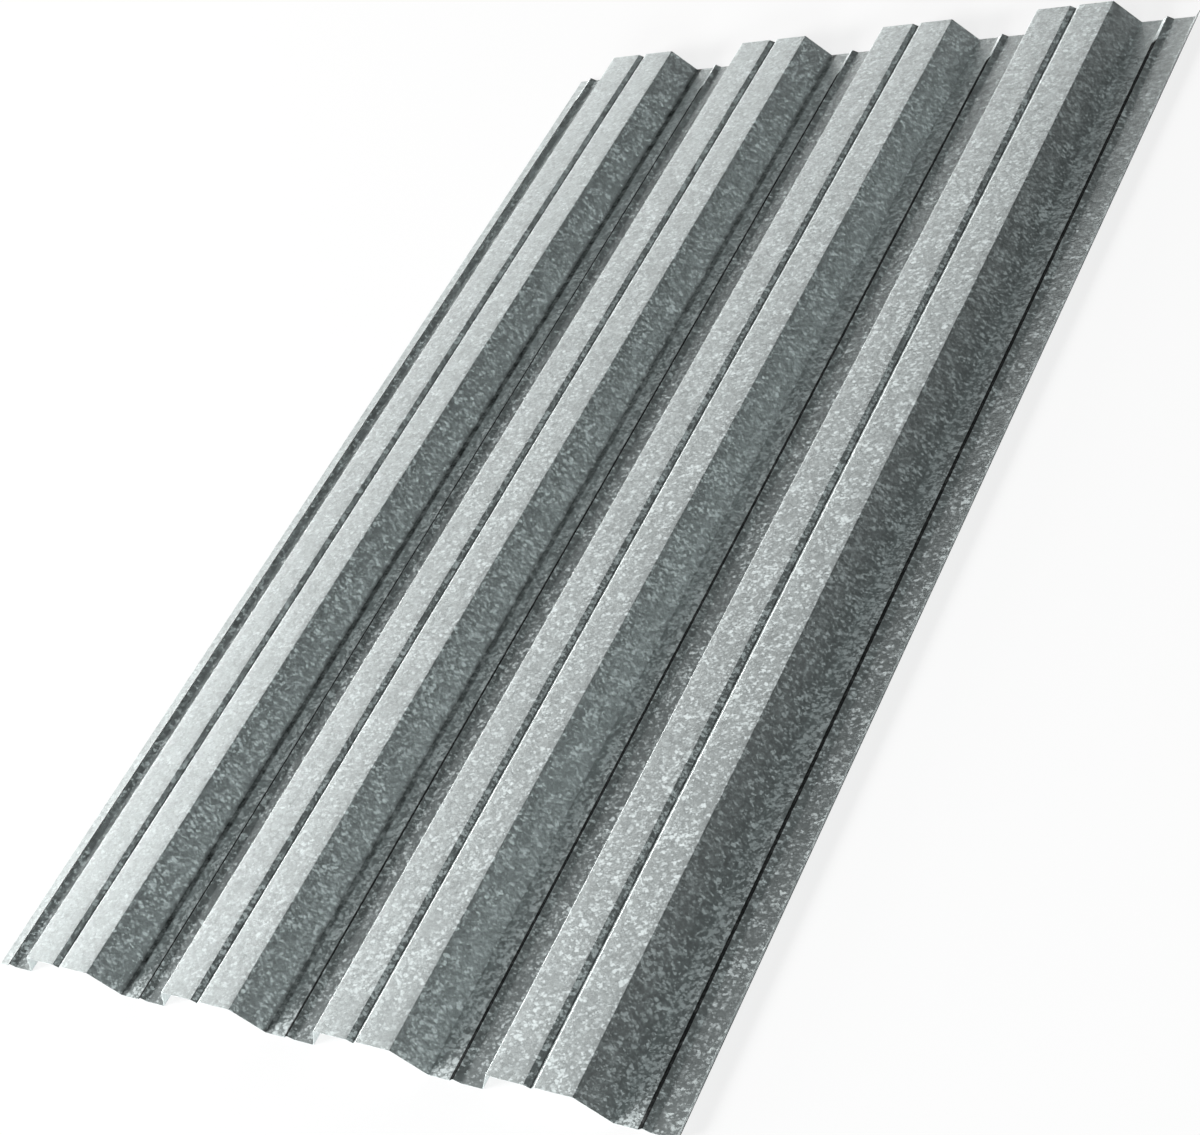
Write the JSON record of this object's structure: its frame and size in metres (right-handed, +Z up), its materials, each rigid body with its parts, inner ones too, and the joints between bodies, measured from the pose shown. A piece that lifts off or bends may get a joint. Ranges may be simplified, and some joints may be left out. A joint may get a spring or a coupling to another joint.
{
  "type": "corrugated metal sheet",
  "caption": "Trapezoidal profiled steel roofing and cladding sheet with grooved crests, ridged valleys, a lap strip and a turned-up lip; spangled zinc coating.",
  "frame": {"origin": "middle of the sheet's box on the floor it lies on", "axes": "+X across the ribs towards the edge with the turned-up lip, +Y along the ribs, +Z up, the way the ribs stand"},
  "size_m": [1.0712, 1.71, 0.0407],
  "materials": {
    "zinc_coated_steel": "hot-dip zinc coating with a small spangle, dull metallic grey"
  },
  "bodies": {
    "root": {"profiled_sheet": "zinc_coated_steel"}
  },
  "joints": []
}
